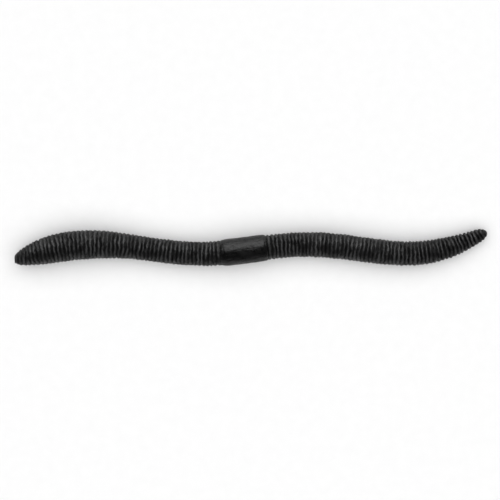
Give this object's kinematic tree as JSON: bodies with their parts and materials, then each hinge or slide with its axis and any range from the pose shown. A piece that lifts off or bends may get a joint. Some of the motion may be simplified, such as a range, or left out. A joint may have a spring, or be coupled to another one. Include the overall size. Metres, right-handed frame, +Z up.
{
  "type": "soft fishing worm",
  "caption": "Straight soft plastic fishing worm with fine ribs all along, a smooth raised collar near its middle, a blunt cut nose and a tapered tail.",
  "frame": {"origin": "on the table under the middle of the worm's box, as the worm lies on its belly", "axes": "+X along the worm towards the tail, +Y to the side that the nose and tail curl from and to, +Z up from the table"},
  "size_m": [0.1502, 0.0118, 0.0094],
  "materials": {
    "soft_plastic": "satin"
  },
  "bodies": {
    "head": {"head": "soft_plastic"},
    "fore_1": {"fore_1": "soft_plastic"},
    "fore_2": {"fore_2": "soft_plastic"},
    "fore_3": {"fore_3": "soft_plastic"},
    "fore_4": {"fore_4": "soft_plastic"},
    "fore_5": {"fore_5": "soft_plastic"},
    "fore_6": {"fore_6": "soft_plastic"},
    "fore_7": {"fore_7": "soft_plastic"},
    "fore_8": {"fore_8": "soft_plastic"},
    "collar": {"collar": "soft_plastic"},
    "aft_1": {"aft_1": "soft_plastic"},
    "aft_2": {"aft_2": "soft_plastic"},
    "aft_3": {"aft_3": "soft_plastic"},
    "aft_4": {"aft_4": "soft_plastic"},
    "aft_5": {"aft_5": "soft_plastic"},
    "aft_6": {"aft_6": "soft_plastic"},
    "aft_7": {"aft_7": "soft_plastic"},
    "aft_8": {"aft_8": "soft_plastic"},
    "aft_9": {"aft_9": "soft_plastic"},
    "tail": {"tail": "soft_plastic"}
  },
  "joints": [
    {"name": "bend_fore_8", "type": "hinge", "parent": "collar", "child": "fore_8", "pos_m": [-0.01339, -0.00198, 0.00449], "axis": [0, 0, -1], "range_deg": [-25, 25], "stiffness_Nm_per_rad": 0.0011},
    {"name": "lift_fore_7", "type": "hinge", "parent": "fore_8", "child": "fore_7", "pos_m": [-0.01977, -0.00192, 0.00388], "axis": [0.0469, 0.9989, 0], "range_deg": [-20, 20], "stiffness_Nm_per_rad": 0.0011},
    {"name": "bend_fore_6", "type": "hinge", "parent": "fore_7", "child": "fore_6", "pos_m": [-0.02614, -0.00138, 0.00388], "axis": [0, 0, -1], "range_deg": [-25, 25], "stiffness_Nm_per_rad": 0.0011},
    {"name": "lift_fore_5", "type": "hinge", "parent": "fore_6", "child": "fore_5", "pos_m": [-0.03247, -0.00057, 0.00389], "axis": [-0.1279, -0.9918, 0], "range_deg": [-20, 20], "stiffness_Nm_per_rad": 0.0011},
    {"name": "bend_fore_4", "type": "hinge", "parent": "fore_5", "child": "fore_4", "pos_m": [-0.03881, 0.00025, 0.00404], "axis": [0, 0, -1], "range_deg": [-25, 25], "stiffness_Nm_per_rad": 0.0011},
    {"name": "lift_fore_3", "type": "hinge", "parent": "fore_4", "child": "fore_3", "pos_m": [-0.04517, 0.00079, 0.00439], "axis": [-0.0487, -0.9988, 0], "range_deg": [-20, 20], "stiffness_Nm_per_rad": 0.0011},
    {"name": "bend_fore_2", "type": "hinge", "parent": "fore_3", "child": "fore_2", "pos_m": [-0.05156, 0.00087, 0.00468], "axis": [0, 0, -1], "range_deg": [-25, 25], "stiffness_Nm_per_rad": 0.0011},
    {"name": "lift_fore_1", "type": "hinge", "parent": "fore_2", "child": "fore_1", "pos_m": [-0.05792, 0.00037, 0.00473], "axis": [-0.1309, 0.9914, 0], "range_deg": [-20, 20], "stiffness_Nm_per_rad": 0.0011},
    {"name": "bend_head", "type": "hinge", "parent": "fore_1", "child": "head", "pos_m": [-0.0642, -0.0008, 0.00473], "axis": [0, 0, -1], "range_deg": [-25, 25], "stiffness_Nm_per_rad": 0.0011},
    {"name": "bend_aft_1", "type": "hinge", "parent": "collar", "child": "aft_1", "pos_m": [0.00867, 0.0004, 0.00449], "axis": [0, 0, 1], "range_deg": [-25, 25], "stiffness_Nm_per_rad": 0.0011},
    {"name": "lift_aft_2", "type": "hinge", "parent": "aft_1", "child": "aft_2", "pos_m": [0.01491, 0.00085, 0.00401], "axis": [0.0345, -0.9994, 0], "range_deg": [-20, 20], "stiffness_Nm_per_rad": 0.0011},
    {"name": "bend_aft_3", "type": "hinge", "parent": "aft_2", "child": "aft_3", "pos_m": [0.02117, 0.00083, 0.00406], "axis": [0, 0, 1], "range_deg": [-25, 25], "stiffness_Nm_per_rad": 0.0011},
    {"name": "lift_aft_4", "type": "hinge", "parent": "aft_3", "child": "aft_4", "pos_m": [0.0274, 0.00036, 0.00409], "axis": [0.1, 0.995, 0], "range_deg": [-20, 20], "stiffness_Nm_per_rad": 0.0011},
    {"name": "bend_aft_5", "type": "hinge", "parent": "aft_4", "child": "aft_5", "pos_m": [0.03361, -0.00042, 0.00407], "axis": [0, 0, 1], "range_deg": [-25, 25], "stiffness_Nm_per_rad": 0.0011},
    {"name": "lift_aft_6", "type": "hinge", "parent": "aft_5", "child": "aft_6", "pos_m": [0.03981, -0.00124, 0.00402], "axis": [0.1131, 0.9936, 0], "range_deg": [-20, 20], "stiffness_Nm_per_rad": 0.0011},
    {"name": "bend_aft_7", "type": "hinge", "parent": "aft_6", "child": "aft_7", "pos_m": [0.04604, -0.00183, 0.00395], "axis": [0, 0, 1], "range_deg": [-25, 25], "stiffness_Nm_per_rad": 0.0011},
    {"name": "lift_aft_8", "type": "hinge", "parent": "aft_7", "child": "aft_8", "pos_m": [0.05229, -0.00186, 0.00387], "axis": [0.0604, -0.9982, 0], "range_deg": [-20, 20], "stiffness_Nm_per_rad": 0.0011},
    {"name": "bend_aft_9", "type": "hinge", "parent": "aft_8", "child": "aft_9", "pos_m": [0.05849, -0.00108, 0.00369], "axis": [0, 0, 1], "range_deg": [-25, 25], "stiffness_Nm_per_rad": 0.0011},
    {"name": "lift_tail", "type": "hinge", "parent": "aft_9", "child": "tail", "pos_m": [0.06453, 0.00052, 0.0034], "axis": [0.3239, -0.9461, 0], "range_deg": [-20, 20], "stiffness_Nm_per_rad": 0.0011}
  ]
}
